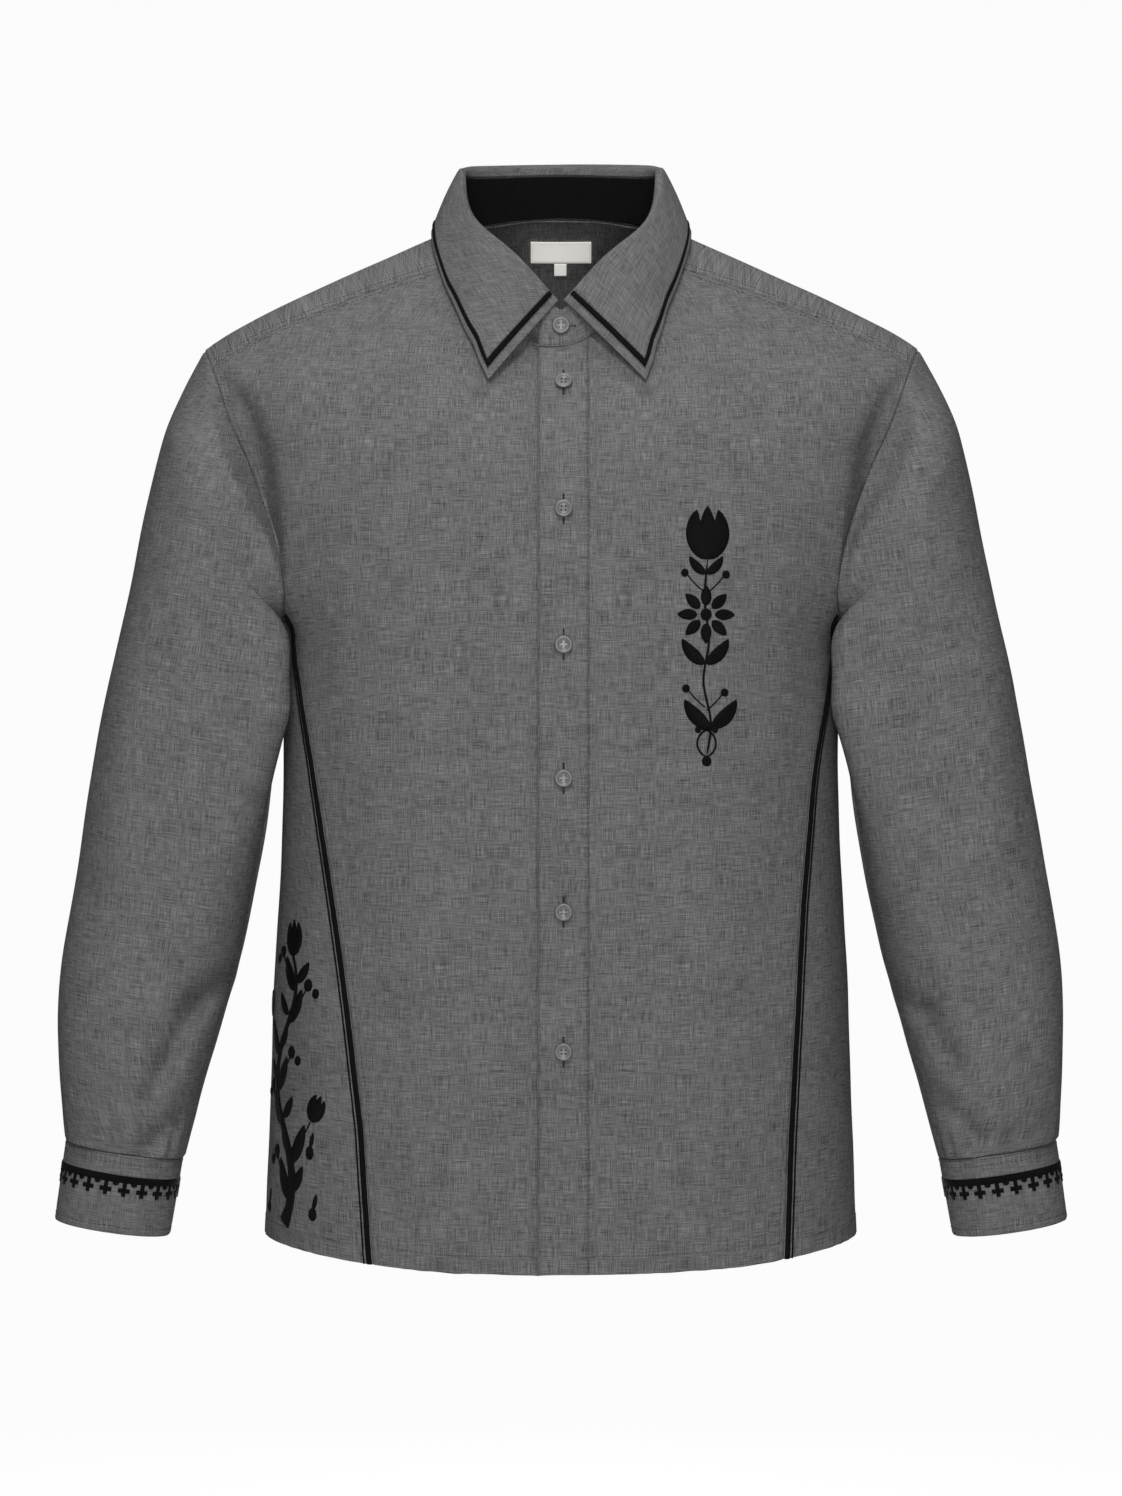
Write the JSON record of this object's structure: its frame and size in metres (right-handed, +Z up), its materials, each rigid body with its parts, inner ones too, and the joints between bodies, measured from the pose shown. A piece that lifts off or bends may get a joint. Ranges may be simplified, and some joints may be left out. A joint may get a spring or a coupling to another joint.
{
  "type": "long-sleeved shirt",
  "caption": "Long-sleeved linen shirt with a pointed collar, button front, slanting side seams and cuffs, filled out as if worn and open at the neck, hem and wrists.",
  "frame": {"origin": "middle of the neck, level with the two side points of the neck seam, where the wearer's shoulders carry the shirt", "axes": "+Z up along the wearer's back, -Y the way the wearer faces, +X the wearer's left"},
  "size_m": [0.7158, 0.2793, 0.7906],
  "materials": {
    "linen": "matte mid-grey melange linen, plain weave with slubs",
    "black_cloth": "matte black woven band",
    "button": "mid-grey, softly polished",
    "label": "smooth cream satin, bare"
  },
  "bodies": {
    "root": {"front_right": "linen", "front_left": "linen", "front_placket": "linen", "side_panel_right": "linen", "side_panel_left": "linen", "back_panel": "linen", "yoke": "linen", "sleeve_right": "linen", "sleeve_left": "linen", "sleeve_placket_right": "linen", "sleeve_placket_left": "linen", "cuff_right": "linen", "cuff_left": "linen", "cuff_button_right": "button", "cuff_button_left": "button", "collar_stand": "linen", "collar_stand_facing": "black_cloth", "collar_leaf": "linen", "collar_trim": "black_cloth", "side_trim_right": "black_cloth", "side_trim_left": "black_cloth", "side_piping_right": "black_cloth", "side_piping_left": "black_cloth", "front_button_1": "button", "front_button_2": "button", "front_button_3": "button", "front_button_4": "button", "front_button_5": "button", "front_button_6": "button", "front_button_7": "button", "label": "label", "label_tab": "label"}
  },
  "joints": []
}
